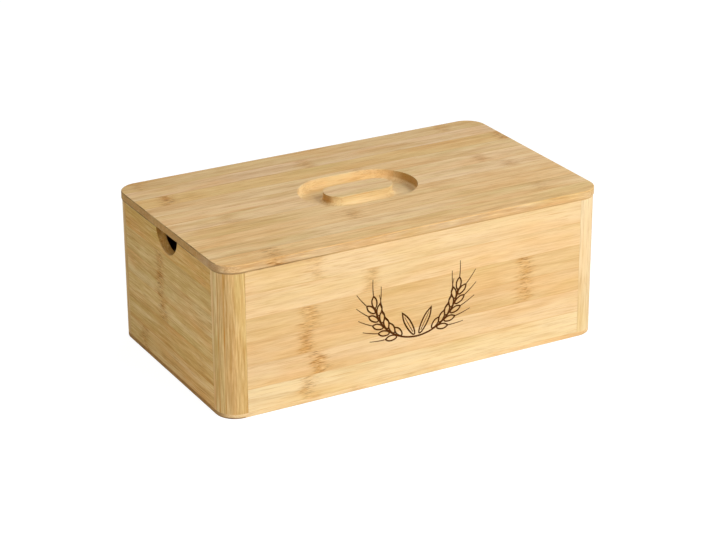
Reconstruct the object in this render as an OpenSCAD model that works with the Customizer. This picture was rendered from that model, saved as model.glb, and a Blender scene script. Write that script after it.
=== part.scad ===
// Bamboo bread box: four panels between rounded corner posts, a base plate
// glued under them, and a loose lid with a grip cut out of the board.
// X runs along the front, Y to the back, Z up. The origin is on the table,
// under the middle of the box.

/* [Box] */
// Outside length of the box, left to right
box_l = 358.6; // [240:0.2:520]
// Outside width of the box, front to back
box_w = 207.4; // [150:0.2:320]
// Height of the rim above the table
box_h = 127.3; // [80:0.1:220]
// Thickness of the walls
wall = 8; // [6:0.5:12]
// Thickness of the base plate
base_t = 4; // [3:0.5:10]
// Rounding of the base plate's lower edge
base_ease = 0.8; // [0.4:0.1:1.5]

/* [Corner posts] */
// Outside radius of the upright corners
corner_r = 18; // [14:0.5:28]
// Straight part of a post's leg, between the rounding and the panel
post_flat = 2.5; // [1:0.5:15]

/* [Tongue and groove] */
// Thickness of the tongue on each end of a panel
tongue_t = 3; // [2:0.25:4]
// How far the tongue stands out of the panel's end
tongue_l = 4; // [2:0.5:5]
// Room for glue at the bottom of the groove
glue_gap = 0.5; // [0.2:0.1:1]

/* [Finger notches] */
// Width of the notch at the rim of each short side
notch_w = 42; // [40:0.5:80]
// Depth of the notch below the rim
notch_depth = 17.5; // [8:0.5:19]

/* [Lid] */
// Thickness of the lid's rim, which lies on the walls
lid_rim_t = 7; // [5:0.5:14]
// How far the lid stands out past the walls
lid_overhang = 0.7; // [0.3:0.1:6]
// Depth of the step that drops between the walls
step_depth = 6.5; // [4:0.5:12]
// Clearance all round between the step and the walls
step_gap = 1; // [0.5:0.25:3]
// Rounding of the lid's upper edge
lid_ease = 1; // [0.5:0.1:2]
// Rounding of the lower edges of the rim and the step
under_ease = 0.6; // [0.3:0.1:1.2]

/* [Grip] */
// Length of the grip left standing in the lid
grip_l = 64; // [50:1:110]
// Width of the grip
grip_w = 27; // [20:0.5:40]
// Width of the moat round the grip
moat_w = 21.5; // [18:0.5:30]
// Depth of the moat
moat_depth = 8.5; // [6:0.25:9]
// Radius between the moat's walls and its floor
moat_floor_r = 5; // [2:0.5:5.5]
// Rounding of the moat's two upper edges
moat_ease = 0.8; // [0.3:0.1:1.5]

/* [Hidden] */
$fn = 96;

front_bamboo = "#f0cd94";
side_bamboo = "#d9b97c";
post_bamboo = "#e8c68c";
lid_bamboo = "#dcba86";
base_bamboo = "#d8b27a";

// A cutter runs this far past the face that it cuts
past = 1;
// No inside corner is rounded to less than this
least_r = 2;

wall_h = box_h - base_t;
post_leg = corner_r + post_flat;
inner_r = max(corner_r - wall, least_r);
groove_l = tongue_l + glue_gap;

lid_l = box_l + 2 * lid_overhang;
lid_w = box_w + 2 * lid_overhang;
lid_r = corner_r + lid_overhang;
step_l = box_l - 2 * (wall + step_gap);
step_w = box_w - 2 * (wall + step_gap);
step_r = max(inner_r - step_gap, least_r);
lid_top = box_h + lid_rim_t;

// The notch is an arc through its two ends at the rim and its lowest point
notch_r = (pow(notch_w / 2, 2) + pow(notch_depth, 2)) / (2 * notch_depth);
notch_z = box_h + notch_r - notch_depth;

// Half the distance between the centres of the grip's round ends
grip_c = (grip_l - grip_w) / 2;

// ---- Boards with rounded corners and eased edges ----

// Section of a board from the centre line of its corner out to the edge,
// with its upper and lower edge rounded
module edge_section(reach, t, low, high) {
    square([reach - max(low, high), t]);
    translate([0, low]) square([reach, t - low - high]);
    if (low > 0)
        translate([reach - low, low]) circle(low);
    if (high > 0)
        translate([reach - high, t - high]) circle(high);
    if (low < high)
        square([reach - low, t / 2]);
    if (high < low)
        translate([0, t / 2]) square([reach - high, t / 2]);
}

// A board of l by w, its corners rounded to r and its edges eased,
// made of a middle, four straight edges and four turned corners
module eased_board(l, w, t, r, low, high) {
    cx = l / 2 - r;
    cy = w / 2 - r;
    translate([-cx, -cy, 0]) cube([2 * cx, 2 * cy, t]);
    for (side = [0, 1]) {
        rotate([0, 0, 180 * side])
            translate([cx, cy, 0]) rotate([90, 0, 0])
                linear_extrude(2 * cy) edge_section(r, t, low, high);
        rotate([0, 0, 180 * side + 90])
            translate([cy, cx, 0]) rotate([90, 0, 0])
                linear_extrude(2 * cx) edge_section(r, t, low, high);
        for (flip = [0, 1])
            rotate([0, 0, 180 * side]) mirror([flip, 0, 0])
                translate([cx, cy, 0])
                    rotate_extrude(angle = 90) edge_section(r, t, low, high);
    }
}

// ---- Box ----

module base_plate() {
    color(base_bamboo)
        eased_board(box_l, box_w, base_t, corner_r, base_ease, 0);
}

// A wall panel from end to end, its outer face on the X axis: the middle is
// as thick as the wall, and a tongue on each end goes into a post
module panel(length) {
    translate([-length / 2, 0, 0]) cube([length, wall, wall_h]);
    translate([-length / 2 - tongue_l, (wall - tongue_t) / 2, 0])
        cube([length + 2 * tongue_l, tongue_t, wall_h]);
}

module long_panel() {
    panel(box_l - 2 * post_leg);
}

module short_panel() {
    difference() {
        panel(box_w - 2 * post_leg);
        translate([0, -past, notch_z - base_t]) rotate([-90, 0, 0])
            cylinder(h = wall + 2 * past, r = notch_r);
    }
}

module front_panel() {
    color(front_bamboo)
        translate([0, -box_w / 2, base_t]) long_panel();
}

module back_panel() {
    color(front_bamboo)
        rotate([0, 0, 180]) translate([0, -box_w / 2, base_t]) long_panel();
}

module left_panel() {
    color(side_bamboo)
        rotate([0, 0, -90]) translate([0, -box_l / 2, base_t]) short_panel();
}

module right_panel() {
    color(side_bamboo)
        rotate([0, 0, 90]) translate([0, -box_l / 2, base_t]) short_panel();
}

// What is cut from a square corner of side r to round it
module corner_waste(r) {
    difference() {
        square(r);
        translate([r, r]) circle(r);
    }
}

// The groove in one leg of a post
module groove_section() {
    translate([post_leg - groove_l, (wall - tongue_t) / 2])
        square([groove_l + past, tongue_t]);
}

// Section of a post with its outer corner at the origin: two legs as thick
// as the wall, rounded inside and out, each with a groove in its end
module post_section() {
    difference() {
        square(post_leg);
        corner_waste(corner_r);
        difference() {
            translate([wall, wall]) square(post_leg);
            translate([wall, wall]) corner_waste(inner_r);
        }
        groove_section();
        mirror([1, -1]) groove_section();
    }
}

module post() {
    color(post_bamboo)
        translate([-box_l / 2, -box_w / 2, base_t])
            linear_extrude(wall_h) post_section();
}

module front_left_post() {
    post();
}

module front_right_post() {
    mirror([1, 0, 0]) post();
}

module back_left_post() {
    mirror([0, 1, 0]) post();
}

module back_right_post() {
    rotate([0, 0, 180]) post();
}

// ---- Lid ----

// Section of the moat, from the grip's side outwards and down from the lid's
// top: straight walls, a rounded foot on each, and eased upper edges
module moat_section() {
    foot = moat_floor_r;
    translate([0, foot - moat_depth]) square([moat_w, moat_depth - foot + past]);
    translate([foot, -moat_depth]) square([moat_w - 2 * foot, moat_depth]);
    for (x = [foot, moat_w - foot])
        translate([x, foot - moat_depth]) circle(foot);
    for (side = [0, 1])
        translate([side * moat_w, 0]) mirror([side, 0])
            translate([-moat_ease, -moat_ease]) difference() {
                square([moat_ease + past, moat_ease + past]);
                circle(moat_ease);
            }
}

// The moat runs round the grip: two straight stretches and two half turns
module moat() {
    for (end = [0, 1])
        rotate([0, 0, 180 * end]) {
            translate([grip_c, 0, 0]) rotate([0, 0, -90])
                rotate_extrude(angle = 180)
                    translate([grip_w / 2, 0]) moat_section();
            translate([-grip_c, grip_w / 2, 0]) rotate([90, 0, 90])
                linear_extrude(2 * grip_c) moat_section();
        }
}

module lid() {
    color(lid_bamboo)
        difference() {
            union() {
                translate([0, 0, box_h])
                    eased_board(lid_l, lid_w, lid_rim_t, lid_r, under_ease, lid_ease);
                translate([0, 0, box_h - step_depth])
                    eased_board(step_l, step_w, step_depth + lid_rim_t / 2, step_r,
                                under_ease, 0);
            }
            translate([0, 0, lid_top]) moat();
        }
}

base_plate();
front_panel();
back_panel();
left_panel();
right_panel();
front_left_post();
front_right_post();
back_left_post();
back_right_post();
lid();
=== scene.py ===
import math

import bmesh
import bpy
from mathutils import Matrix, Vector


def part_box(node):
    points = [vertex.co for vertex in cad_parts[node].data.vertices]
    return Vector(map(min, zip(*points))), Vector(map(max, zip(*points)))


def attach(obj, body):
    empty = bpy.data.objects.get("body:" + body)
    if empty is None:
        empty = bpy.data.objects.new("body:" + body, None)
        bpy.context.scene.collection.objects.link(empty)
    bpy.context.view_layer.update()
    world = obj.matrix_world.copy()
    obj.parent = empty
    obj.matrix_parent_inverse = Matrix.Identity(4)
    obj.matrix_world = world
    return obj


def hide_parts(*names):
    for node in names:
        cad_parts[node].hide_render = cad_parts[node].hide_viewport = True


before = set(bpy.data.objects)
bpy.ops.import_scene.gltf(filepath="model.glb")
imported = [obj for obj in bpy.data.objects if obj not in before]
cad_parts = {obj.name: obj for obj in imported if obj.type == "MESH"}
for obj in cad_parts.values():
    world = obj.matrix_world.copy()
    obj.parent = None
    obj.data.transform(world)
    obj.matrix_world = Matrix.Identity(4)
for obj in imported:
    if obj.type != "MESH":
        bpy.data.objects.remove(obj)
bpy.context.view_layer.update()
bpy.ops.object.select_all(action="DESELECT")
mm = 0.001


# ---- Camera ----
# A long lens looks down on the box from its front left corner. Its axis
# passes just under the middle of the box.
view_azimuth = math.radians(-28.8)
view_elevation = math.radians(22.94)
view_roll = math.radians(-0.32)
view_distance = 1.9594
view_aim = Vector((-0.0028, -0.0045, 0.0600))
view_lens = 114.32

back = Vector((math.sin(view_azimuth) * math.cos(view_elevation),
               -math.cos(view_azimuth) * math.cos(view_elevation),
               math.sin(view_elevation)))
level = Vector((math.cos(view_azimuth), math.sin(view_azimuth), 0))
right = Matrix.Rotation(view_roll, 3, back) @ level
turn = Matrix((right, back.cross(right), back)).transposed()
camera = bpy.data.objects.new("camera", bpy.data.cameras.new("camera"))
camera.data.lens = view_lens
camera.data.clip_end = 20
camera.matrix_world = Matrix.Translation(view_aim + back * view_distance) @ turn.to_4x4()
bpy.context.collection.objects.link(camera)
bpy.context.scene.camera = camera


# ---- Studio ----
# The box stands on a white sweep in a dim white room. A big soft lamp lights
# it from the front right, and two weak ones open up the left and the back.
room_light = 0.15
sweep_radius = 9
sweep_white = 0.90
sweep_glow = 1.25
shadow_share = 0.25


def add(tree, kind, inputs=(), **settings):
    """Adds a node, fills its sockets with values or links, and returns its
    outputs. On Map Range, sockets 1 and 2 are the range that comes in, and 3
    and 4 the range that goes out, which is 0 to 1 where they are left."""
    made = tree.nodes.new("ShaderNode" + kind)
    for name, value in settings.items():
        setattr(made, name, value)
    for socket, value in dict(inputs).items():
        if isinstance(value, bpy.types.NodeSocket):
            tree.links.new(value, made.inputs[socket])
        else:
            made.inputs[socket].default_value = value
    return made.outputs


def new_tree(owner):
    """Switches the owner of some shader nodes to an empty tree."""
    owner.use_nodes = True
    owner.node_tree.nodes.clear()
    return owner.node_tree


def soft_lamp(name, place, across, watts):
    """A square softbox that faces the middle of the box."""
    lamp = bpy.data.objects.new(name, bpy.data.lights.new(name, "AREA"))
    lamp.data.size = across
    lamp.data.energy = watts
    lamp.location = place
    aim = Vector((0, 0, 0.07)) - Vector(place)
    lamp.rotation_euler = aim.to_track_quat("-Z", "Y").to_euler()
    bpy.context.collection.objects.link(lamp)


# The room lights the box dimly, but wherever it is seen it is white
room = bpy.data.worlds.new("white_room")
bpy.context.scene.world = room
tree = new_tree(room)
ray = add(tree, "LightPath")
seen = add(tree, "Math", {0: ray["Is Camera Ray"], 1: ray["Is Glossy Ray"]}, operation="MAXIMUM")[0]
seen = add(tree, "Math", {0: seen, 1: ray["Is Transmission Ray"]}, operation="MAXIMUM")[0]
dim = add(tree, "Background", {"Color": (1, 1, 1, 1), "Strength": room_light})[0]
white = add(tree, "Background", {"Color": (1, 1, 1, 1), "Strength": 1})[0]
mixed = add(tree, "MixShader", {0: seen, 1: dim, 2: white})[0]
add(tree, "OutputWorld", {0: mixed})

soft_lamp("key_softbox", (0.81, -1.68, 1.25), 1.6, 40.4)
soft_lamp("left_fill", (-1.4, -0.45, 0.75), 0.7, 5.4)
soft_lamp("back_fill", (1.2, 1.4, 1.5), 1.0, 9)

# White paper, which glows where the camera sees it, all but the share that
# keeps the shadow
bpy.ops.mesh.primitive_circle_add(vertices=96, radius=sweep_radius, fill_type="NGON")
sweep = bpy.context.object
sweep.name = "sweep"
paper = bpy.data.materials.new("white_paper")
tree = new_tree(paper)
ray = add(tree, "LightPath")
matt = add(tree, "BsdfDiffuse", {"Color": (sweep_white, sweep_white, sweep_white, 1)})[0]
blank = add(tree, "Emission", {"Color": (1, 1, 1, 1), "Strength": sweep_glow})[0]
lit = add(tree, "Math", {0: ray["Is Camera Ray"], 1: 1 - shadow_share}, operation="MULTIPLY")[0]
mixed = add(tree, "MixShader", {0: lit, 1: matt, 2: blank})[0]
add(tree, "OutputMaterial", {0: mixed})
sweep.data.materials.append(paper)

bpy.context.scene.view_settings.view_transform = "Standard"


# ---- Back and side walls ----
# Boards of edge-glued bamboo under clear oil, their strips lying along the wall.
# A tongue on both ends is glued into the groove of a corner post, and the short
# walls have a finger notch at the rim.
tongue_t = 3 * mm
tongue_l = 4 * mm
rim_ease = 0.8 * mm
seam_ease = 0.2 * mm
notch_w = 42 * mm
notch_depth = 17.5 * mm
strip_w = 20.55 * mm
floor_z, seam_z = (corner.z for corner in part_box("front_panel"))
lengthwise, sideways, upright = (1, 0, 0), (0, 1, 0), (0, 0, 1)

# Places closer than this are the same. A face whose normal has less upright in
# it than plumb counts as plumb, and one with more than flat counts as flat
near = 0.01 * mm
plumb, flat = 0.05, 0.97

# What the cane's colour drifts to, then its fibres, end grain, the painted
# shade on the edges, and knuckles
honey = "#eab064"
olive = "#dcbc70"
fibre_brown = "#bf8539"
fibre_pale = "#ffe2a6"
end_brown = "#946020"
edge_shade_pale = "#dcb57c"
edge_shade_dark = "#7b562a"
knuckle_stain = "#d0903c"
knuckle_dark = "#93591b"


def only(board):
    """Makes a board the only one selected, and active."""
    bpy.ops.object.select_all(action="DESELECT")
    board.select_set(True)
    bpy.context.view_layer.objects.active = board


def block(name, low, high):
    """A cuboid between two corners, its mesh placed on the origin."""
    centre = (Vector(low) + Vector(high)) / 2
    bpy.ops.mesh.primitive_cube_add(size=1, location=centre, scale=Vector(high) - Vector(low))
    bpy.ops.object.transform_apply(location=True, rotation=True, scale=True)
    bpy.context.object.name = name
    return bpy.context.object


def pick(board, kind, wanted):
    """In edit mode, selects the verts, edges or faces of a board that are wanted."""
    bpy.ops.mesh.select_mode(type={"verts": "VERT", "edges": "EDGE", "faces": "FACE"}[kind])
    bpy.ops.mesh.select_all(action="DESELECT")
    mesh = bmesh.from_edit_mesh(board.data)
    for item in getattr(mesh, kind):
        if wanted(item):
            item.select_set(True)
    bmesh.update_edit_mesh(board.data)


def ease(board, radius, steps, wanted):
    """Rounds over the edges of a board that are wanted, by their middle."""
    only(board)
    bpy.ops.object.mode_set(mode="EDIT")
    pick(board, "edges", lambda edge: wanted((edge.verts[0].co + edge.verts[1].co) / 2))
    bpy.ops.mesh.bevel(offset=radius, segments=steps, affect="EDGES", clamp_overlap=False)
    bpy.ops.object.mode_set(mode="OBJECT")


def apply(board, kind, **settings):
    """Puts a modifier on a board and applies it."""
    only(board)
    made = board.modifiers.new(kind.lower(), kind)
    for name, value in settings.items():
        setattr(made, name, value)
    bpy.ops.object.modifier_apply(modifier=made.name)


def cut(board, tool, **settings):
    """Takes a tool's shape out of a board, and puts the tool away."""
    apply(board, "BOOLEAN", operation="DIFFERENCE", solver="EXACT", object=tool, **settings)
    bpy.data.objects.remove(tool)


def linear(colour):
    """A #rrggbb colour as linear red, green and blue, with an alpha of 1."""
    parts = [int(colour[k:k + 2], 16) / 255 for k in (1, 3, 5)]
    return [p / 12.92 if p < 0.04045 else ((p + 0.055) / 1.055) ** 2.4 for p in parts] + [1]


def bamboo(name, along, across, first_edge, pitch, figure, strips, soaked=0.88,
           end_colour=end_brown):
    """Bare bamboo under clear oil: pale strips, glued side by side from
    first_edge on, with fine fibres and a brown knuckle across each where the
    cane had a joint. For each strip: where its knuckle is and how far apart its
    knuckles are, in mm, how strong they are, and its colour. The figure is the
    strength of its fibres and of the drift in its colour. The end grain takes
    its own colour, as far as it is soaked with oil."""
    # How often each pattern repeats in a millimetre: along the grain, across it
    # and into the board. Sway moves the fibres by so many millimetres, jag the
    # knuckle's line, and curl its flecks
    sway_rate, sway_by = (0.005, 0.03, 0.03), (0, 4.5, 4.5)
    jag_rate, jag_by = (0.004, 0.30, 0.12), 7
    curl_rate, curl_by = (0.17, 0.13, 0.13), (0, 1.1, 1.1)
    drift_rate = (0.011, 0.045, 0.045)
    band_rate = (0.009, 0.16, 0.16)
    fibre_rate = (0.045, 0.95, 0.95)
    hair_rate = (0.022, 1.5, 1.5)
    cloud_rate = (0.09, 0.16, 0.16)
    fleck_rate = (0.12, 1.3, 1.3)
    gap_rate = (0.025, 0.01, 0.01)
    dots_rate = (0.01, 0.8, 0.8)
    next_strip = (61.7, 13.3, 7.1)
    glue_half = 0.7 * mm

    wood = bpy.data.materials.new(name)
    tree = new_tree(wood)
    along, across = Vector(along), Vector(across)
    place = add(tree, "TexCoord")
    grain = add(tree, "Mapping", {
        "Vector": place["Object"], "Scale": (1 / mm, 1 / mm, 1 / mm),
        "Rotation": Matrix((along, across, along.cross(across))).to_euler(),
        "Location": (0, -first_edge / mm, 0)})[0]
    axis = add(tree, "SeparateXYZ", {0: grain})
    count = add(tree, "Math", {0: axis["Y"], 1: pitch / mm}, operation="DIVIDE")[0]
    strip = add(tree, "Math", {0: count}, operation="FLOOR")[0]
    which = add(tree, "Math", {0: strip, 1: 0.5}, operation="ADD")[0]
    which = add(tree, "Math", {0: which, 1: len(strips)}, operation="DIVIDE")[0]
    which = add(tree, "Math", {0: which}, operation="FRACT")[0]

    def per_strip(values):
        """A colour that changes from strip to strip."""
        ramp = add(tree, "ValToRGB", {0: which})[0]
        stops = ramp.node.color_ramp
        stops.interpolation = "CONSTANT"
        stops.elements.remove(stops.elements[1])
        stops.elements[0].color = values[0]
        for k, value in enumerate(values[1:], 1):
            stops.elements.new(k / len(values)).color = value
        return ramp

    # A strip's knuckle is kept as a colour: its place and its gap, both divided
    # by this reach in mm, and its strength
    reach = 1000
    knuckle = add(tree, "SeparateColor", {0: per_strip(
        [(0.5 + at / reach, gap / reach, strong, 1) for at, gap, strong, _ in strips])})
    colour = per_strip([linear(strip_colour) for *_, strip_colour in strips])

    # Each strip comes from another place in the cane, and no fibre is dead straight
    moved = add(tree, "VectorMath", {0: strip, 1: next_strip, 2: grain},
                operation="MULTIPLY_ADD")[0]
    sway_at = add(tree, "VectorMath", {0: moved, 1: sway_rate}, operation="MULTIPLY")[0]
    sway = add(tree, "TexNoise", {"Vector": sway_at, "Scale": 1, "Detail": 1})[1]
    sway = add(tree, "VectorMath", {0: sway, 1: (0.5, 0.5, 0.5)}, operation="SUBTRACT")[0]
    fibres = add(tree, "VectorMath", {0: sway, 1: sway_by, 2: moved}, operation="MULTIPLY_ADD")[0]

    # How far a point is from the knuckle, whose line is jagged. It swells over
    # 10 mm before that line, and fades over 12 mm after it
    jag_at = add(tree, "VectorMath", {0: moved, 1: jag_rate}, operation="MULTIPLY")[0]
    jag = add(tree, "TexNoise", {"Vector": jag_at, "Scale": 1, "Detail": 3, "Roughness": 0.7})[0]
    jag = add(tree, "MapRange", {0: jag, 1: 0.25, 2: 0.75, 3: -jag_by, 4: jag_by})[0]
    centre = add(tree, "MapRange", {0: knuckle["Red"], 3: -reach / 2, 4: reach / 2})[0]
    half_gap = add(tree, "Math", {0: knuckle["Green"], 1: reach / 2}, operation="MULTIPLY")[0]
    minus_half = add(tree, "Math", {0: half_gap, 1: -1}, operation="MULTIPLY")[0]
    off = add(tree, "Math", {0: axis["X"], 1: centre}, operation="SUBTRACT")[0]
    off = add(tree, "Math", {0: off, 1: jag}, operation="ADD")[0]
    off = add(tree, "Math", {0: off, 1: half_gap, 2: minus_half}, operation="WRAP")[0]
    rise = add(tree, "MapRange", {0: off, 1: -11, 2: -1}, interpolation_type="SMOOTHSTEP")[0]
    fall = add(tree, "MapRange", {0: off, 1: 13, 2: 1}, interpolation_type="SMOOTHSTEP")[0]
    swell = add(tree, "Math", {0: rise, 1: fall}, operation="MULTIPLY")[0]

    # The colour drifts from honey to olive along a strip
    drift_at = add(tree, "VectorMath", {0: moved, 1: drift_rate}, operation="MULTIPLY")[0]
    drift = add(tree, "TexNoise", {"Vector": drift_at, "Scale": 1, "Detail": 3})
    drift = add(tree, "SeparateColor", {0: drift[1]})
    warm = add(tree, "MapRange", {0: drift["Red"], 1: 0.46, 2: 0.70, 4: 0.6 * figure})[0]
    cool = add(tree, "MapRange", {0: drift["Green"], 1: 0.48, 2: 0.70, 4: 0.5 * figure})[0]
    colour = add(tree, "MixRGB", {0: warm, 1: colour, 2: linear(honey)})[0]
    colour = add(tree, "MixRGB", {0: cool, 1: colour, 2: linear(olive)})[0]

    # Bands 6 mm wide, fibres 1 mm wide, and hair lines two thirds of that: the
    # real ones are finer, and are drawn as coarse as it takes to show
    band_at = add(tree, "VectorMath", {0: fibres, 1: band_rate}, operation="MULTIPLY")[0]
    band = add(tree, "TexNoise", {"Vector": band_at, "Scale": 1, "Detail": 3})[0]
    dark_band = add(tree, "MapRange", {0: band, 1: 0.50, 2: 0.74, 4: 0.44 * figure})[0]
    pale_band = add(tree, "MapRange", {0: band, 1: 0.46, 2: 0.26, 4: 0.44 * figure})[0]
    colour = add(tree, "MixRGB", {0: dark_band, 1: colour, 2: linear(fibre_brown)})[0]
    colour = add(tree, "MixRGB", {0: pale_band, 1: colour, 2: linear(fibre_pale)})[0]
    fibre_at = add(tree, "VectorMath", {0: fibres, 1: fibre_rate}, operation="MULTIPLY")[0]
    fibre = add(tree, "TexNoise", {"Vector": fibre_at, "Scale": 1, "Detail": 4, "Roughness": 0.65})[0]
    dark_fibre = add(tree, "MapRange", {0: fibre, 1: 0.50, 2: 0.74, 4: 0.60 * figure})[0]
    pale_fibre = add(tree, "MapRange", {0: fibre, 1: 0.48, 2: 0.28, 4: 0.50 * figure})[0]
    colour = add(tree, "MixRGB", {0: dark_fibre, 1: colour, 2: linear(fibre_brown)})[0]
    colour = add(tree, "MixRGB", {0: pale_fibre, 1: colour, 2: linear(fibre_pale)})[0]
    hair_at = add(tree, "VectorMath", {0: fibres, 1: hair_rate}, operation="MULTIPLY")[0]
    hair = add(tree, "TexNoise", {"Vector": hair_at, "Scale": 1, "Detail": 2})[0]
    hair = add(tree, "MapRange", {0: hair, 1: 0.60, 2: 0.74, 4: 0.45})[0]
    colour = add(tree, "MixRGB", {0: hair, 1: colour, 2: linear(knuckle_stain)})[0]

    # At a knuckle the wood is stained, and its fibres curl and break up into
    # dark and pale flecks that lie along the grain
    cloud_at = add(tree, "VectorMath", {0: moved, 1: cloud_rate}, operation="MULTIPLY")[0]
    cloud = add(tree, "TexNoise", {"Vector": cloud_at, "Scale": 1, "Detail": 2})[0]
    stain = add(tree, "MapRange", {0: cloud, 1: 0.36, 2: 0.66, 3: 0.2, 4: 0.65})[0]
    stain = add(tree, "Math", {0: stain, 1: swell}, operation="MULTIPLY")[0]
    stain = add(tree, "Math", {0: stain, 1: knuckle["Blue"]}, operation="MULTIPLY")[0]
    colour = add(tree, "MixRGB", {0: stain, 1: colour, 2: linear(knuckle_stain)})[0]
    curl_at = add(tree, "VectorMath", {0: moved, 1: curl_rate}, operation="MULTIPLY")[0]
    curl = add(tree, "TexNoise", {"Vector": curl_at, "Scale": 1, "Detail": 1})[1]
    curl = add(tree, "VectorMath", {0: curl, 1: (0.5, 0.5, 0.5)}, operation="SUBTRACT")[0]
    fleck_at = add(tree, "VectorMath", {0: curl, 1: curl_by, 2: moved}, operation="MULTIPLY_ADD")[0]
    fleck_at = add(tree, "VectorMath", {0: fleck_at, 1: fleck_rate}, operation="MULTIPLY")[0]
    fleck = add(tree, "TexNoise", {"Vector": fleck_at, "Scale": 1, "Detail": 2, "Roughness": 0.6})[0]
    flecked = add(tree, "Math", {0: swell, 1: knuckle["Blue"]}, operation="MULTIPLY")[0]
    dark_fleck = add(tree, "MapRange", {0: fleck, 1: 0.50, 2: 0.68, 4: 0.75})[0]
    dark_fleck = add(tree, "Math", {0: dark_fleck, 1: flecked}, operation="MULTIPLY")[0]
    pale_fleck = add(tree, "MapRange", {0: fleck, 1: 0.46, 2: 0.32, 4: 0.55})[0]
    pale_fleck = add(tree, "Math", {0: pale_fleck, 1: flecked}, operation="MULTIPLY")[0]
    colour = add(tree, "MixRGB", {0: dark_fleck, 1: colour, 2: linear(knuckle_dark)})[0]
    colour = add(tree, "MixRGB", {0: pale_fleck, 1: colour, 2: linear(fibre_pale)})[0]

    # The glue line between two strips comes and goes
    edge = add(tree, "Math", {0: count}, operation="FRACT")[0]
    edge = add(tree, "Math", {0: edge, 1: 0.5}, operation="SUBTRACT")[0]
    edge = add(tree, "Math", {0: edge}, operation="ABSOLUTE")[0]
    glue = add(tree, "MapRange", {0: edge, 1: 0.5 - glue_half / pitch, 2: 0.5, 4: 1})[0]
    gap_at = add(tree, "VectorMath", {0: moved, 1: gap_rate}, operation="MULTIPLY")[0]
    gap = add(tree, "TexNoise", {"Vector": gap_at, "Scale": 1, "Detail": 2})[0]
    gap = add(tree, "MapRange", {0: gap, 1: 0.38, 2: 0.66, 3: 0.15 * figure, 4: 0.85 * figure})[0]
    glue = add(tree, "Math", {0: glue, 1: gap}, operation="MULTIPLY")[0]
    facing = add(tree, "VectorMath", {0: place["Normal"], 1: across}, operation="DOT_PRODUCT")[1]
    facing = add(tree, "Math", {0: facing}, operation="ABSOLUTE")[0]
    facing = add(tree, "MapRange", {0: facing, 1: 0.95, 2: 0.70})[0]
    glue = add(tree, "Math", {0: glue, 1: facing}, operation="MULTIPLY")[0]
    colour = add(tree, "MixRGB", {0: glue, 1: colour, 2: linear(knuckle_stain)})[0]

    # End grain shows the fibres as dots, and soaks up more oil
    dots_at = add(tree, "VectorMath", {0: moved, 1: dots_rate}, operation="MULTIPLY")[0]
    dots = add(tree, "TexVoronoi", {"Vector": dots_at, "Scale": 1})[0]
    dots = add(tree, "MapRange", {0: dots, 1: 0.35, 2: 0.15, 3: 0.7 * soaked, 4: soaked})[0]
    end = add(tree, "VectorMath", {0: place["Normal"], 1: along}, operation="DOT_PRODUCT")[1]
    end = add(tree, "Math", {0: end}, operation="ABSOLUTE")[0]
    end = add(tree, "MapRange", {0: end, 1: 0.66, 2: 0.98}, interpolation_type="SMOOTHSTEP")[0]
    end = add(tree, "Math", {0: end, 1: dots}, operation="MULTIPLY")[0]
    colour = add(tree, "MixRGB", {0: end, 1: colour, 2: linear(end_colour)})[0]

    # Satin, a little rougher on the dark fibres, with hair lines, glue lines and
    # dark flecks sunk in
    rough = add(tree, "MapRange", {0: fibre, 1: 0.3, 2: 0.7, 3: 0.46, 4: 0.60})[0]
    relief = add(tree, "Math", {0: fibre, 1: hair}, operation="SUBTRACT")[0]
    relief = add(tree, "Math", {0: relief, 1: glue}, operation="SUBTRACT")[0]
    relief = add(tree, "Math", {0: relief, 1: dark_fleck}, operation="SUBTRACT")[0]
    bump = add(tree, "Bump", {"Height": relief, "Strength": 0.3, "Distance": 0.08 * mm})[0]
    skin = add(tree, "BsdfPrincipled", {"Base Color": colour, "Roughness": rough,
                                        "IOR": 1.5, "Specular IOR Level": 0.1,
                                        "Normal": bump})[0]
    add(tree, "OutputMaterial", {0: skin})
    return wood


def wall_board(node, along):
    """A wall panel in the place of its CAD node, its length along axis 0 or 1."""
    low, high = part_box(node)
    through = 1 - along
    half = high[along] - tongue_l
    near_end, far_end = low.copy(), high.copy()
    near_end[along], far_end[along] = -half, half
    board = block(node + "_board", near_end, far_end)

    bpy.ops.object.mode_set(mode="EDIT")
    across = Vector((0, 0, 0))
    across[through] = 1
    middle = (low[through] + high[through]) / 2
    for side in (-1, 1):
        bpy.ops.mesh.select_all(action="SELECT")
        bpy.ops.mesh.bisect(plane_co=across * (middle + side * tongue_t / 2), plane_no=across)
    for side in (-1, 1):
        pick(board, "faces", lambda face: face.normal[along] * side > 0.9
             and abs(face.calc_center_median()[through] - middle) < tongue_t / 2)
        push = Vector((0, 0, 0))
        push[along] = side * tongue_l
        bpy.ops.mesh.extrude_region_move(TRANSFORM_OT_translate={"value": push})
    bpy.ops.object.mode_set(mode="OBJECT")

    # The short walls have a finger notch at the rim
    notch_r = ((notch_w / 2) ** 2 + notch_depth ** 2) / (2 * notch_depth)
    notch_z = high.z + notch_r - notch_depth
    if along == 1:
        bpy.ops.mesh.primitive_cylinder_add(
            vertices=160, radius=notch_r, depth=4 * (high[through] - low[through]),
            location=(middle, 0, notch_z), rotation=(0, math.pi / 2, 0))
        cut(board, bpy.context.object)

    def on_face(p):
        """Whether a point lies on one of the board's two large faces."""
        return min(abs(p[through] - low[through]), abs(p[through] - high[through])) < near

    def on_rim(p):
        """Whether a point lies on an edge of the rim or of the notch."""
        at_notch = along == 1 and abs(math.hypot(p.y, p.z - notch_z) - notch_r) < 10 * near
        return on_face(p) and (abs(p.z - high.z) < near or at_notch)

    ease(board, rim_ease, 3, on_rim)
    ease(board, seam_ease, 2, lambda p: on_face(p) and abs(abs(p[along]) - half) < near)
    ease(board, seam_ease, 2, lambda p: on_face(p) and abs(p.z - low.z) < near)
    return board


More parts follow.
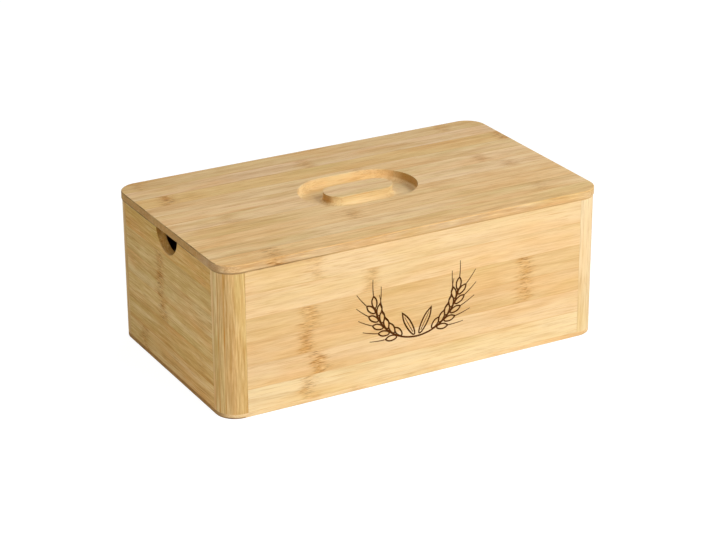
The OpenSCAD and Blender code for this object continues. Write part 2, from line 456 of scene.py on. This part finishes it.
def hand_over(piece, material, marks, node, body):
    """Gives a piece its material, others on the faces that are marked, and
    smooth shading that keeps flat faces flat, lets it ride on its body, and
    puts it in the place of its CAD node."""
    smooth_below = math.radians(34)
    if material.name not in piece.data.materials:
        piece.data.materials.append(material)
    for other, marked in marks:
        piece.data.materials.append(other)
        for face in piece.data.polygons:
            if marked(face):
                face.material_index = len(piece.data.materials) - 1
    only(piece)
    bpy.ops.object.shade_smooth_by_angle(angle=smooth_below)
    apply(piece, "WEIGHTED_NORMAL", keep_sharp=True, weight=100)
    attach(piece, body)
    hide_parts(node)


# Painted shade on the rounded edges: the dark line of the gap under the lid's rim,
# the shaded ends of the lid's top edge and the dark line where the base plate meets
# the floor. It is laid on in blotches of a dull brown, darkest towards the left end,
# where the shade is deepest
palest_shade_x = -60 * mm
darkest_shade_x = -170 * mm
painted_edge_shade = bpy.data.materials.new("painted_edge_shade")
tree = new_tree(painted_edge_shade)
place = add(tree, "TexCoord")
shade_blotch = add(tree, "TexNoise", {"Vector": place["Object"], "Scale": 0.03 / mm, "Detail": 4})[0]
shade_blotch = add(tree, "MapRange", {0: shade_blotch, 1: 0.40, 2: 0.65, 3: 0.2})[0]
at = add(tree, "SeparateXYZ", {0: place["Object"]})[0]
shade_toward_left = add(tree, "MapRange", {0: at, 1: palest_shade_x, 2: darkest_shade_x, 3: 0.1})[0]
shade_blotch = add(tree, "Math", {0: shade_blotch, 1: shade_toward_left}, operation="MULTIPLY")[0]
shade_blotch = add(tree, "MixRGB", {0: shade_blotch, 1: linear(edge_shade_pale), 2: linear(edge_shade_dark)})[0]
skin = add(tree, "BsdfPrincipled", {"Base Color": shade_blotch, "Roughness": 0.6, "IOR": 1.5,
                                    "Specular IOR Level": 0.1})[0]
add(tree, "OutputMaterial", {0: skin})


def on_rim_edge(face):
    """Whether a face belongs to the rounded edges of the walls' rim."""
    return face.center.z > seam_z - rim_ease and plumb < face.normal.z < flat


# The rounded rim edges of the walls and posts, where the lid sits on them, take the painted shade of
# the seam
rim_seam_shade = [(painted_edge_shade, on_rim_edge)]

back_bamboo = bamboo("bare_bamboo_back", lengthwise, upright, floor_z, strip_w, 0.7, [
    (60, 310, 0.8, "#edc891"), (-20, 290, 0.7, "#eeca95"), (110, 300, 0.9, "#ebc48c"),
    (15, 280, 0.8, "#eecb94"), (-90, 330, 0.6, "#efcd99"), (75, 300, 0.8, "#eecb96")])
left_bamboo = bamboo("bare_bamboo_left", sideways, upright, floor_z, strip_w, 1.35, [
    (52, 300, 0.8, "#efc77f"), (-60, 280, 0.4, "#e8be72"), (11, 260, 1.1, "#e8c47b"),
    (16, 250, 1.3, "#e8c988"), (15, 255, 1.1, "#e3c179"), (-70, 300, 0.3, "#dbba64")])
right_bamboo = bamboo("bare_bamboo_right", sideways, upright, floor_z, strip_w, 1.1, [
    (-30, 300, 0.7, "#ecc98f"), (40, 280, 0.8, "#e8c286"), (-55, 260, 0.8, "#edcb94"),
    (20, 250, 0.6, "#e9c68c"), (70, 255, 0.9, "#ebc88f"), (-10, 300, 0.7, "#e7c284")])

hand_over(wall_board("back_panel", 0), back_bamboo, rim_seam_shade, "back_panel", "box")
hand_over(wall_board("left_panel", 1), left_bamboo, rim_seam_shade, "left_panel", "box")
hand_over(wall_board("right_panel", 1), right_bamboo, rim_seam_shade, "right_panel", "box")


# ---- Front wall, with its burnt drawing ----
# The front wall is made like the back one. Two ears of wheat and two leaves are
# burnt into it by a laser, in charred grooves 1.6 mm wide and half as deep, with
# finer ones for the awns and the leaves' veins.
drawing_place = Vector((-2 * mm, 0, 59 * mm))
groove_half = 0.8 * mm
char_brown = "#542a06"
scorch_brown = "#7c480f"

# The right ear: its stem is an arc round a hub, with angles in degrees
stem_r = 40 * mm
stem_hub = 18 * mm
stem_from, ear_from, ear_to = -112, -68, -9
grains_a_side = 5
grain_l = 11 * mm
grain_w = 4.6 * mm
grain_off = 1.1 * mm
grain_lean = 30
tip_grain_lean = 1
awn_l = 14 * mm
awn_off = 0.6 * mm
awn_bend = 0.8 * mm
awn_half = 0.56 * mm

# The right leaf, which stands on the stem
leaf_l = 25 * mm
leaf_w = 5.4 * mm
leaf_lean = 62
leaf_foot_x = 2.4 * mm
leaf_foot_z = 2 * mm
vein_from = 3 * mm
vein_step = 4.2 * mm
vein_half = 0.46 * mm

front_bamboo = bamboo("bare_bamboo_front", lengthwise, upright, floor_z, strip_w, 0.65, [
    (-105, 420, 0.8, "#f5dbaa"), (-95, 430, 1.1, "#f2d1a0"), (-105, 208, 0.8, "#ebc691"),
    (-102, 204, 0.9, "#e9c48c"), (-46, 380, 0.6, "#f4d3a1"), (-96, 400, 0.5, "#f4d4a3")])

# Charred wood is matt and dark, and paler where it is only scorched
char = bpy.data.materials.new("charred_groove")
tree = new_tree(char)
place = add(tree, "TexCoord")
soot = add(tree, "TexNoise", {"Vector": place["Object"], "Scale": 0.7 / mm, "Detail": 3})[0]
soot = add(tree, "MapRange", {0: soot, 1: 0.35, 2: 0.70, 4: 0.35})[0]
soot = add(tree, "MixRGB", {0: soot, 1: linear(char_brown), 2: linear(scorch_brown)})[0]
skin = add(tree, "BsdfPrincipled", {"Base Color": soot, "Roughness": 0.8, "IOR": 1.5,
                                    "Specular IOR Level": 0.1})[0]
add(tree, "OutputMaterial", {0: skin})


def bar(curve, half):
    """Makes a curve a round bar, which cuts as deep as half its thickness."""
    curve.data.bevel_depth = half
    curve.data.bevel_resolution = 1
    curve.data.resolution_u = 5
    curve.data.use_fill_caps = True
    only(curve)
    bpy.ops.object.convert(target="MESH")
    return bpy.context.object


def seed_outline(length, width):
    """A pointed oval in the plane of the front, from the origin to the right."""
    bpy.ops.curve.primitive_bezier_circle_add(radius=1, rotation=(math.pi / 2, 0, 0))
    oval = bpy.context.object
    oval.scale = (length / 2, width / 2, 1)
    oval.location.x = length / 2
    bpy.ops.object.transform_apply(location=True, rotation=True, scale=True)
    tip = max(oval.data.splines[0].bezier_points, key=lambda point: point.co.x)
    tip.handle_left_type = tip.handle_right_type = "VECTOR"
    for point in oval.data.splines[0].bezier_points:
        point.radius = 1
    return bar(oval, groove_half)


def hair_line(points, half):
    """A tapered bar through five points right and up of the origin."""
    bpy.ops.curve.primitive_nurbs_path_add()
    path = bpy.context.object
    for k, (right_by, up_by) in enumerate(points):
        path.data.splines[0].points[k].co = (right_by, 0, up_by, 1)
        path.data.splines[0].points[k].radius = 1 - 0.1 * k
    return bar(path, half)


def join(pieces):
    """Makes one object of several."""
    only(pieces[0])
    for piece in pieces:
        piece.select_set(True)
    bpy.ops.object.join()
    return bpy.context.object


def placed(shape, side, degrees, right_by, up_by):
    """A copy of a shape, turned in the plane of the front and moved."""
    only(shape)
    bpy.ops.object.duplicate()
    made = bpy.context.object
    made.scale = (1, 1, side)
    made.rotation_euler = (0, -math.radians(degrees), 0)
    made.location = (right_by, 0, up_by)
    bpy.ops.object.transform_apply(location=True, rotation=True, scale=True)
    return made


awn_x = grain_l + awn_off
grain_shape = join([
    seed_outline(grain_l, grain_w),
    hair_line([(awn_x + awn_l * k / 4, awn_bend * k * k / 8) for k in range(5)], awn_half)])

# The grains sit by turns on both sides of the stem, and one on its tip
strokes = []
for k in range(grains_a_side):
    for side in (-1, 1):
        at = ear_from + (ear_to - ear_from) * (k + (0.5 if side > 0 else 0)) / grains_a_side
        out = stem_r + side * grain_off
        strokes.append(placed(grain_shape, side, at + 90 - side * grain_lean,
                              out * math.cos(math.radians(at)),
                              stem_hub + out * math.sin(math.radians(at))))
strokes.append(placed(grain_shape, 1, ear_to + 90 + tip_grain_lean,
                      stem_r * math.cos(math.radians(ear_to)),
                      stem_hub + stem_r * math.sin(math.radians(ear_to))))
bpy.data.objects.remove(grain_shape)

leaf = join([seed_outline(leaf_l, leaf_w),
             hair_line([(vein_from + vein_step * k, 0) for k in range(5)], vein_half)])
strokes.append(placed(leaf, 1, leaf_lean, leaf_foot_x, stem_hub - stem_r + leaf_foot_z))
bpy.data.objects.remove(leaf)

start = math.radians(stem_from)
bpy.ops.mesh.primitive_circle_add(
    vertices=8, radius=groove_half, fill_type="NGON", rotation=(0, -start, 0),
    location=(stem_r * math.cos(start), 0, stem_hub + stem_r * math.sin(start)))
stem = bpy.context.object
bpy.ops.object.transform_apply(location=True, rotation=True, scale=True)
bpy.ops.object.mode_set(mode="EDIT")
bpy.ops.mesh.select_all(action="SELECT")
bpy.ops.mesh.spin(steps=48, angle=math.radians(ear_to - stem_from), center=(0, 0, stem_hub),
                  axis=(0, 1, 0))
bpy.ops.object.mode_set(mode="OBJECT")

# The left half of the drawing mirrors the right one
right_half = join(strokes + [stem])
bpy.ops.object.duplicate()
left_half = bpy.context.object
left_half.scale.x = -1
bpy.ops.object.transform_apply(scale=True)
laser = join([right_half, left_half])
laser.location = drawing_place + Vector((0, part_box("front_panel")[0].y, 0))
bpy.ops.object.transform_apply(location=True)
bpy.ops.object.mode_set(mode="EDIT")
bpy.ops.mesh.select_all(action="SELECT")
bpy.ops.mesh.remove_doubles(threshold=near)
bpy.ops.mesh.normals_make_consistent(inside=False)
bpy.ops.object.mode_set(mode="OBJECT")
laser.data.materials.append(char)

# The grooves take the laser's material, and the slivers that the cut leaves are
# dissolved
front_panel = wall_board("front_panel", 0)
front_panel.data.materials.append(front_bamboo)
cut(front_panel, laser, use_self=True, material_mode="TRANSFER")
bpy.ops.object.mode_set(mode="EDIT")
bpy.ops.mesh.select_all(action="SELECT")
bpy.ops.mesh.dissolve_degenerate(threshold=near)
bpy.ops.object.mode_set(mode="OBJECT")
hand_over(front_panel, front_bamboo, rim_seam_shade, "front_panel", "box")


# ---- Corner posts ----
# Bamboo layers 5 mm thick glued face to face, their grain upright, moulded
# round on the outside and hollow on the inside. Each leg ends in a groove.
wall_t = 8 * mm
post_r = 18 * mm
post_hollow_r = post_r - wall_t
corner_steps = 18
hollow_steps = 12
groove_l = tongue_l + 0.5 * mm
layer_t = 5.1 * mm
left_layers_y = -107.5 * mm
right_layers_y = -103.7 * mm

# On the front left post the layers are darker on the lit front and lighter where the corner turns to
# the shaded left side: partly the layers' own tone, partly painted light
left_post_bamboo = bamboo("upright_bamboo_left", upright, sideways, left_layers_y, layer_t, 1.45, [
    (62, 260, 0.15, "#dfb97d"), (84, 240, 0.2, "#deb77a"), (70, 250, 0.15, "#e8c488"),
    (48, 255, 0.2, "#f2d398"), (90, 230, 0.15, "#f4d69c"), (40, 250, 0.2, "#ebca92")])
right_post_bamboo = bamboo("upright_bamboo_right", upright, sideways, right_layers_y, layer_t, 0.8, [
    (50, 260, 0.2, "#f7e0b4"), (84, 240, 0.2, "#f6dcab"), (60, 250, 0.35, "#f3cf92"),
    (95, 255, 0.45, "#efc98a"), (30, 230, 0.35, "#f2cf95"), (70, 250, 0.45, "#f0cb8e")])

low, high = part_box("front_left_post")
leg = high.x - low.x
past = Vector((leg, leg, leg))
first_post = block("front_left_post_moulding", low, high)
ease(first_post, post_r, corner_steps, lambda p: abs(p.x - low.x) < near and abs(p.y - low.y) < near)
inner = low + Vector((wall_t, wall_t, 0))
hollow = block("hollow_cutter", inner - Vector((0, 0, leg)), high + past)
ease(hollow, post_hollow_r, hollow_steps,
     lambda p: abs(p.x - inner.x) < near and abs(p.y - inner.y) < near)
cut(first_post, hollow)
groove_low = low + Vector((leg - groove_l, (wall_t - tongue_t) / 2, -leg))
groove_high = Vector((high.x + leg, groove_low.y + tongue_t, high.z + leg))
cut(first_post, block("groove_cutter", groove_low, groove_high))
groove_low = low + Vector(((wall_t - tongue_t) / 2, leg - groove_l, -leg))
groove_high = Vector((groove_low.x + tongue_t, high.y + leg, high.z + leg))
cut(first_post, block("groove_cutter", groove_low, groove_high))


def in_groove(p):
    """Whether a point of the first post lies on one of its two grooves."""
    dx, dy = p.x - low.x, p.y - low.y
    groove_from, groove_to = (wall_t - tongue_t) / 2 - near, (wall_t + tongue_t) / 2 + near
    return ((dx > leg - groove_l - near and groove_from < dy < groove_to)
            or (dy > leg - groove_l - near and groove_from < dx < groove_to))


def at_leg_end(p):
    """Whether a point of the first post lies on the end of one of its legs."""
    return abs(p.x - high.x) < near or abs(p.y - high.y) < near


ease(first_post, rim_ease, 3, lambda p: abs(p.z - high.z) < near
     and not at_leg_end(p) and not in_groove(p))
ease(first_post, seam_ease, 2, lambda p: at_leg_end(p) and not in_groove(p))


def mirrored_post(node, sx, sy):
    """A copy of the first post in another corner, with its own mesh."""
    only(first_post)
    bpy.ops.object.duplicate()
    post = bpy.context.object
    post.name = node + "_moulding"
    post.scale = (sx, sy, 1)
    bpy.ops.object.transform_apply(scale=True)
    bpy.ops.object.mode_set(mode="EDIT")
    bpy.ops.mesh.select_all(action="SELECT")
    bpy.ops.mesh.normals_make_consistent(inside=False)
    bpy.ops.object.mode_set(mode="OBJECT")
    return post


posts = [("front_right_post", -1, 1, right_post_bamboo),
         ("back_left_post", 1, -1, left_post_bamboo),
         ("back_right_post", -1, -1, right_post_bamboo)]
for node, sx, sy, wood in posts:
    hand_over(mirrored_post(node, sx, sy), wood, rim_seam_shade, node, "box")
hand_over(first_post, left_post_bamboo, rim_seam_shade, "front_left_post", "box")


# ---- Base plate ----
# A thin bamboo board glued under walls and posts, flush with them all round. Its
# lower edge is rounded, so that it doesn't splinter, and near both ends it carries painted shade, the
# dark line where it stands on the floor.
base_ease = 0.8 * mm
base_strip_w = 20.88 * mm
contact_shade_h = 1.3 * mm

base_bamboo = bamboo("bare_bamboo_base", lengthwise, sideways, -5 * base_strip_w, base_strip_w, 0.8, [
    (-60, 300, 0.4, "#f5d8a6"), (40, 280, 0.8, "#e8c084"), (100, 320, 0.6, "#edc88f"),
    (-120, 260, 0.8, "#e7be80"), (10, 300, 0.7, "#ebc58b"), (70, 330, 0.8, "#eac388"),
    (-90, 270, 0.6, "#e8c083"), (140, 310, 0.7, "#edc78d"), (-20, 290, 0.8, "#e9c286"),
    (55, 300, 0.7, "#ebc58a")])


def rounded_corners(board, high, radius):
    """Rounds the four upright corners of a board."""
    ease(board, radius, corner_steps,
         lambda p: high.x - abs(p.x) < near and high.y - abs(p.y) < near)


low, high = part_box("base_plate")
base_plate = block("base_plate_board", low, high)
rounded_corners(base_plate, high, post_r)
ease(base_plate, base_ease, 3, lambda p: abs(p.z - low.z) < near)
ease(base_plate, seam_ease, 2, lambda p: abs(p.z - high.z) < near)
bpy.ops.object.mode_set(mode="EDIT")
bpy.ops.mesh.select_all(action="SELECT")
bpy.ops.mesh.bisect(plane_co=(0, 0, low.z + contact_shade_h), plane_no=(0, 0, 1))
bpy.ops.object.mode_set(mode="OBJECT")


def in_base_contact_shade(face):
    """Whether a face belongs to the lower edge near one of the base plate's ends."""
    return (face.normal.z > -flat and face.center.z < low.z + contact_shade_h
            and abs(face.center.x) > high.x / 2)


# Near its ends the lower edge takes the painted shade of the contact line
hand_over(base_plate, base_bamboo, [(painted_edge_shade, in_base_contact_shade)], "base_plate", "box")


# ---- Lid ----
# One thick board of edge-glued bamboo. A step cut round its underside drops
# between the walls, and a moat routed round its middle leaves a grip standing.
lid_rim_t = 7 * mm
lid_overhang = 0.7 * mm
lid_ease = 0.9 * mm
under_ease = 0.8 * mm
step_gap = 1 * mm
grip_l = 64 * mm
grip_w = 27 * mm
moat_w = 21.5 * mm
moat_depth = 8.5 * mm
moat_foot = 3.6 * mm
moat_ease = 0.5 * mm
lid_strip_w = 20.88 * mm

lid_strips = [
    (-130, 340, 1.1, "#fcd293"), (136, 360, 0.5, "#fedca6"), (-32, 330, 0.8, "#fcd498"),
    (60, 400, 0.3, "#fad399"), (-128, 271, 0.5, "#fedaa7"), (129, 350, 0.6, "#fed9a5"),
    (20, 390, 0.4, "#f8d59f"), (-154, 330, 1.3, "#f1c985"), (-14, 340, 0.6, "#f7d4a6"),
    (138, 300, 0.7, "#ecc88f")]


def lid_board_bamboo(name, figure, strips, **oiled):
    """Bamboo in strips as wide as the lid's."""
    return bamboo(name, lengthwise, sideways, -5 * lid_strip_w, lid_strip_w, figure, strips, **oiled)


# The wood is paler where the router has cut it. On the sides, which are rubbed
# by hands, it is darker, and less yellow in the two front strips
routed_pale = "#fde1ac"
routed_end = "#b27b24"
side_front = "#dbb98c"
side_back = "#d8b273"
lid_bamboo = lid_board_bamboo("bare_bamboo_lid", 1.0, lid_strips)
routed_bamboo = lid_board_bamboo(
    "routed_bamboo", 0.8, [(at, gap, strong, routed_pale) for at, gap, strong, _ in lid_strips],
    soaked=1, end_colour=routed_end)
side_bamboo = lid_board_bamboo(
    "rubbed_bamboo", 1.1, [(at, gap, strong, side_front if k < 2 else side_back)
                           for k, (at, gap, strong, _) in enumerate(lid_strips)], soaked=0.5)

low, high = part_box("lid")
rim_z = high.z - lid_rim_t
lid_r = post_r + lid_overhang
lid = block("lid_board", (low.x, low.y, rim_z), high)
rounded_corners(lid, high, lid_r)
bpy.ops.object.mode_set(mode="EDIT")
pick(lid, "faces", lambda face: face.normal.z < -0.9)
bpy.ops.mesh.inset(thickness=lid_overhang + wall_t + step_gap)
bpy.ops.mesh.extrude_region_move(TRANSFORM_OT_translate={"value": (0, 0, low.z - rim_z)})
bpy.ops.object.mode_set(mode="OBJECT")


def from_outline(p):
    """How far a point lies inside the outline of the lid's rim."""
    return lid_r - math.hypot(max(abs(p.x) - high.x + lid_r, 0), max(abs(p.y) - high.y + lid_r, 0))


ease(lid, lid_ease, 4, lambda p: abs(p.z - high.z) < near)
ease(lid, under_ease, 3, lambda p: abs(p.z - low.z) < near)
ease(lid, under_ease, 3, lambda p: abs(p.z - rim_z) < near and from_outline(p) < 10 * near)

# The cutter for the moat is its section, swept round the grip
grip_side = grip_w / 2
far_side = grip_side + moat_w
turn_x = (grip_l - grip_w) / 2
clear = 2 * mm
bpy.ops.mesh.primitive_plane_add(
    size=1, rotation=(0, math.pi / 2, 0),
    location=(turn_x, -(grip_side + far_side) / 2, high.z + (clear - moat_depth) / 2))
router = bpy.context.object
router.scale = (moat_depth + clear, moat_w, 1)
bpy.ops.object.transform_apply(location=True, rotation=True, scale=True)
bpy.ops.object.mode_set(mode="EDIT")
bpy.ops.mesh.delete(type="ONLY_FACE")
pick(router, "verts", lambda end: end.co.z < high.z)
bpy.ops.mesh.bevel(offset=moat_foot, segments=10, affect="VERTICES", clamp_overlap=False)
bpy.ops.mesh.select_all(action="SELECT")
for side in (1, -1):
    bpy.ops.mesh.spin(steps=40, angle=-math.pi, center=(side * turn_x, 0, 0), axis=(0, 0, 1))
    bpy.ops.mesh.extrude_region_move(TRANSFORM_OT_translate={"value": (-side * 2 * turn_x, 0, 0)})
bpy.ops.mesh.select_all(action="SELECT")
bpy.ops.mesh.remove_doubles(threshold=near)
bpy.ops.mesh.normals_make_consistent(inside=False)
bpy.ops.object.mode_set(mode="OBJECT")
cut(lid, router)


def on_moat_lip(p):
    """Whether a point lies on one of the moat's two upper edges."""
    out = math.hypot(max(abs(p.x) - turn_x, 0), p.y)
    return abs(p.z - high.z) < near and min(abs(out - grip_side), abs(out - far_side)) < 10 * near


def in_moat(face):
    """Whether a face belongs to the moat."""
    out = math.hypot(max(abs(face.center.x) - turn_x, 0), face.center.y)
    return face.normal.z > -0.1 and out < far_side + moat_ease and face.center.z < high.z - near


def on_side(face):
    """Whether a face belongs to the sides of the lid's rim."""
    return abs(face.normal.z) < 0.3 and from_outline(face.center) < 0.3 * mm


def on_end_edge(face):
    """Whether a face belongs to the rounded upper edges at the lid's ends."""
    return (0.2 < face.normal.z < flat and abs(face.normal.x) > 3 * abs(face.normal.y)
            and from_outline(face.center) < lid_ease)


def on_lower_edge(face):
    """Whether a face belongs to the lower edge of the lid's rim."""
    return rim_z < face.center.z < rim_z + under_ease and -flat < face.normal.z < -plumb


ease(lid, moat_ease, 4, on_moat_lip)
# The rounded upper edges at the lid's ends and the lower edge of its rim take the painted shade as
# well
marks = [(routed_bamboo, in_moat), (side_bamboo, on_side),
         (painted_edge_shade, lambda face: on_end_edge(face) or on_lower_edge(face))]
hand_over(lid, lid_bamboo, marks, "lid", "lid")
